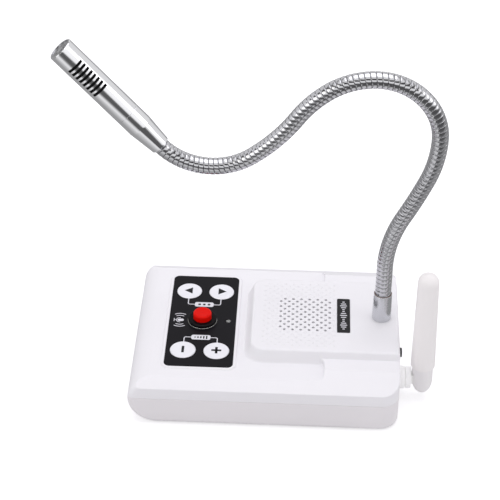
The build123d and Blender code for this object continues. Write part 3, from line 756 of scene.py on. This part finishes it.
def hose_piece(name, start, end, material):
    """The wound tube between two distances.

    Its radius is the hose's, less a crown and a narrow groove that repeat once per pitch along
    a helix: with t running from -1 to 1 over a turn, it falls by crest * t^2 + groove * t^20.
    A point is the centre plus that radius times cos a along Y and sin a across the line, a
    being its angle round the tube. The tint is painted shade that darkens the groove, t^14.
    """
    distance = np.linspace(start, end, int((end - start) / hose_pitch * rows_per_turn) + 2)
    centre, heading = hose_line(distance)
    turn = np.linspace(0, 2 * np.pi, columns_round, endpoint=False)
    phase = distance[:, None] / hose_pitch - turn[None, :] / (2 * np.pi)
    t = 2 * (phase % 1) - 1
    radius = hose_r - crest * t ** 2 - groove * t ** groove_power
    across = np.stack([-np.sin(heading), np.zeros(len(heading)), np.cos(heading)], axis=1)
    rows = (centre[:, None, :] + radius[..., None] * (
        np.cos(turn)[None, :, None] * np.array([0, 1, 0])
        + np.sin(turn)[None, :, None] * across[:, None, :]))
    ends = [np.broadcast_to(centre[i], (1, columns_round, 3)) for i in (0, -1)]
    groove_shade = np.pad(t ** groove_shade_power, ((1, 1), (0, 0)))
    return surface(name, np.concatenate([ends[0], rows, ends[1]]), material, None,
                   crease=80, tint=groove_shade)


hose_chrome, shader, _, _, tone = finish(
    "hose_chrome", srgb(206, 206, 210), 0.12, 0.25 * mm, 0.003 * mm, drift=0.12, wear=0.3,
    sockets={"Metallic": 1.0})
# Painted shade: the chrome's colour goes to dark grey where the tint marks the groove.
in_groove = tone.node("ShaderNodeAttribute", {"attribute_name": "tint"}, out="Fac")
mixed(in_groove, tone, groove_shade_grey).into(shader.inputs["Base Color"])
stretch_lengths = [sum(run_length(*run) for run in stretch) for stretch in hose_stretches]
hinges = np.cumsum(stretch_lengths)
middles = hinges - np.array(stretch_lengths) / 2
cuts = [0, *middles, hinges[-1]]
last = len(hose_stretches)
for i in range(last + 1):
    piece = hose_piece(f"hose_wound_{i + 1}", cuts[i], cuts[i + 1], hose_chrome)
    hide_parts(f"hose_{min(i + 1, last)}")
    if i in (0, last):
        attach(piece, bodies_along[min(i, last - 1)])
    else:
        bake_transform(piece)

# ------------------------------------------------------------------ neck ferrule
# A turned and satin-plated sleeve, a little wider at its foot, covers the joint
# of hose and housing; a brown fibre washer shows at its mouth.
ferrule_foot, ferrule_top, ferrule_bore = 4.8 * mm, 4.5 * mm, 4.05 * mm
ferrule_low, ferrule_high = 31.4 * mm, 46.5 * mm
foot_round, mouth_round, mouth_bevel = 0.35 * mm, 0.2 * mm, 0.1 * mm
fibre_r, fibre_thick_r = 4.12 * mm, 0.22 * mm
ferrule_satin, *_ = finish("ferrule_satin", srgb(214, 215, 219), 0.26, 0.18 * mm, 0.004 * mm,
                           drift=0.08, wear=0.25, sockets={"Metallic": 1.0, "Anisotropic": 0.4})
ferrule_profile = np.concatenate([
    [(ferrule_bore, ferrule_low), (ferrule_foot - foot_round, ferrule_low)],
    arc(ferrule_foot - foot_round, ferrule_low + foot_round, foot_round, -75, 0, 6),
    arc(ferrule_top - mouth_round, ferrule_high - mouth_round, mouth_round, 0, 90, 6),
    [(ferrule_bore + mouth_bevel, ferrule_high), (ferrule_bore, ferrule_high - mouth_bevel)]])
lathe("neck_sleeve", ferrule_profile, (neck_x, 0, 0), (0, 0, 1), ferrule_satin,
      "housing", "neck_ferrule", ring=True)
fibre, *_ = finish("fibre_brown", srgb(96, 62, 44), 0.55, 0.15 * mm, 0.01 * mm, drift=0.3)
lathe("neck_fibre_ring", round_section(fibre_r, ferrule_high, fibre_thick_r), (neck_x, 0, 0),
      (0, 0, 1), fibre, "housing", ring=True)

# --------------------------------------------------------------------- microphone
# A polished chrome-plated brass barrel: a drawn rear cone screws on the hose, and
# a slotted tube with a recessed end plate screws into the cone. A black sleeve inside the
# slots is painted shade, standing for the dark hollow of the barrel.
(mic_base,), (mic_heading,) = hose_line(hinges[-1])
mic_axis = (math.cos(mic_heading), 0, math.sin(mic_heading))
mic_r, mic_tail_r, mic_wall, mic_bore = 6.1 * mm, 4.87 * mm, 0.9 * mm, 4.05 * mm
mic_skirt, mic_shoulder, mic_seam = 1.0 * mm, 12.8 * mm, 21.8 * mm
tail_round, shoulder_round, seam_bevel = 0.3 * mm, 9 * mm, 0.12 * mm
lead_hole_r, lead_hole_top, room_low = 2.2 * mm, 10.8 * mm, 13.8 * mm
mic_chrome, *_ = finish("mic_chrome", srgb(232, 232, 235), 0.09, 0.3 * mm, 0.0008 * mm,
                        drift=0.04, wear=0.4, sockets={"Metallic": 1.0})
cone_profile = np.concatenate([
    [(mic_bore, -mic_skirt)],
    arc(mic_tail_r - tail_round, tail_round - mic_skirt, tail_round, -90, 0, 5),
    rounded([(mic_tail_r, 0), (mic_r, mic_shoulder), (mic_r, mic_seam - seam_bevel)],
            shoulder_round, closed=False),
    [(mic_r - seam_bevel, mic_seam), (mic_r - mic_wall, mic_seam), (mic_r - mic_wall, room_low)],
    [(lead_hole_r, lead_hole_top), (lead_hole_r, 0), (mic_bore, 0)]])
lathe("mic_cone", cone_profile, mic_base, mic_axis, mic_chrome, "neck_tip", "mic_rear_shell",
      sides=128, ring=True)
skin("mic_tube", mic_chrome)
# Painted shade: a black sleeve just inside the slotted tube darkens the slots like the barrel's
# hollow.
slot_shade_r, slot_shade_thick = mic_r - mic_wall - 0.05 * mm, 0.3 * mm
slot_shade_low, slot_shade_high = 38.5 * mm, 59.0 * mm
slot_shade_black, *_ = finish("slot_shade_black", srgb(26, 26, 27), 0.9, 0.3 * mm, 0.06 * mm, drift=0.4,
                         sockets={"Specular IOR Level": 0.1})
slot_shade_profile = [(slot_shade_r, slot_shade_low), (slot_shade_r, slot_shade_high),
                 (slot_shade_r - slot_shade_thick, slot_shade_high), (slot_shade_r - slot_shade_thick, slot_shade_low)]
lathe("mic_slot_shade", slot_shade_profile, mic_base, mic_axis, slot_shade_black, "neck_tip", ring=True)
plate_grey, *_ = finish("mic_plate_grey", srgb(168, 168, 170), 0.35, 0.2 * mm, 0.004 * mm,
                        drift=0.12, sockets={"Metallic": 1.0})
skin("mic_cap", plate_grey)

# ------------------------------------------------------------------------ antenna
# A moulded white mast on a folding, turning joint. Its sleeve tapers to a domed tip and meets
# the fork at a fine seam. The collar and knuckle are a brighter white, and a faint glow stands
# for the light that their thin plastic lets through.
pin_place = Vector((77.1, -22.0, 11.3)) * mm
mast_lean = math.radians(0.95)
mast_axis = Vector((-math.sin(mast_lean), 0, math.cos(mast_lean)))
mast_foot_r, mast_tip_r, mast_bore = 6.0 * mm, 5.1 * mm, 2.5 * mm
mast_seam, mast_high, mast_bevel = 8.45 * mm, 64.2 * mm, 0.15 * mm
bore_straight, bore_cone_r, bore_cone_fall, tip_wall = 56 * mm, 2.0 * mm, 3 * mm, 1.5 * mm
mast_white, *_ = finish("mast_white", srgb(248, 245, 244), 0.5, 0.3 * mm, 0.008 * mm, drift=0.02)
sleeve_profile = np.concatenate([
    [(mast_bore, mast_seam), (mast_foot_r - mast_bevel, mast_seam)],
    [(mast_foot_r, mast_seam + mast_bevel)],
    arc(0, mast_high - mast_tip_r, mast_tip_r, 0, 90, 20),
    [(0, mast_high - tip_wall), (bore_cone_r, mast_high - bore_cone_fall)],
    [(mast_bore, bore_straight)]])
lathe("antenna_mast_sleeve", sleeve_profile, pin_place, mast_axis, mast_white,
      "antenna_mast", "antenna_sleeve", ring=True)
fork_white, *_ = finish("fork_white", srgb(244, 242, 242), 0.5, 0.3 * mm, 0.008 * mm, drift=0.02)
skin("antenna_fork", fork_white)
joint_white, *_ = finish("joint_white", srgb(253, 253, 252), 0.35, 0.3 * mm, 0.006 * mm,
                         drift=0.01, sockets={"Emission Color": white, "Emission Strength": 0.08})
skin("antenna_knuckle", joint_white)
skin("antenna_collar", joint_white)

# ----------------------------------------------------------- inlet and power slide
# The rear wall's black coaxial inlet with its plated pin, and the ribbed black
# finger piece of the slide switch.
rib_pitch, rib_height = 0.8 * mm, 0.08 * mm
inlet_black, *_ = finish("inlet_black", srgb(26, 26, 28), 0.4, 0.25 * mm, 0.006 * mm, drift=0.2)
slide_black, shader, place, relief, _ = finish(
    "slide_black", srgb(28, 28, 30), 0.42, 0.25 * mm, 0.006 * mm, drift=0.2)
phase = parted(place)[1] * (2 * math.pi / rib_pitch)
raised(relief + phase.math("SINE", phase) * rib_height, shader)
skin("dc_jack", inlet_black)
skin("power_knob", slide_black)

# -------------------------------------------------------------- what lies inside
# Boards, speaker, fixings and leads are bought-in parts inside the housing, each
# in the finish of its stuff: lacquer, moulded plastic, steel, brass, paper, ferrite or foam.
lacquer_green, *_ = finish("lacquer_green", srgb(24, 92, 52), 0.35, 0.6 * mm, 0.01 * mm, drift=0.3)
moulded_black, *_ = finish("moulded_black", srgb(32, 32, 34), 0.5, 0.3 * mm, 0.01 * mm, drift=0.25)
plated_steel, *_ = finish("plated_steel", srgb(172, 174, 178), 0.35, 0.3 * mm, 0.004 * mm,
                          drift=0.12, sockets={"Metallic": 1.0})
plated_brass, *_ = finish("plated_brass", srgb(212, 176, 104), 0.3, 0.3 * mm, 0.004 * mm,
                          drift=0.15, sockets={"Metallic": 1.0})
cone_paper, *_ = finish("cone_paper", srgb(52, 50, 48), 0.85, 0.4 * mm, 0.05 * mm, drift=0.35)
ferrite_grey, *_ = finish("ferrite_grey", srgb(70, 70, 72), 0.6, 0.5 * mm, 0.03 * mm, drift=0.2,
                          sockets={"Metallic": 0.4})
foam_black, *_ = finish("foam_black", srgb(30, 30, 31), 0.95, 0.35 * mm, 0.12 * mm, drift=0.5)
lead_black, *_ = finish("lead_black", srgb(30, 30, 31), 0.6, 0.3 * mm, 0.01 * mm, drift=0.2)
inside = {
    lacquer_green: ["keypad_board", "main_board"],
    moulded_black: ["tact_switches", "board_parts", "mic_capsule"],
    plated_steel: ["keypad_screws", "ptt_nut", "ptt_spring", "speaker_frame", "board_screws",
                   "radio_module", "power_switch", "antenna_pin", "neck_washer", "neck_nut"],
    plated_brass: ["ptt_contacts", "dc_pin", "antenna_jack", "antenna_element", "neck_bush"],
    cone_paper: ["speaker_cone"],
    ferrite_grey: ["speaker_magnet"],
    foam_black: ["speaker_gasket", "mic_grommet"],
    lead_black: [f"cable_{i + 1}" for i in range(len(hose_stretches))],
}
for material, names in inside.items():
    for name in names:
        for holder in frame["nodes"][name].material_slots:
            holder.material = material
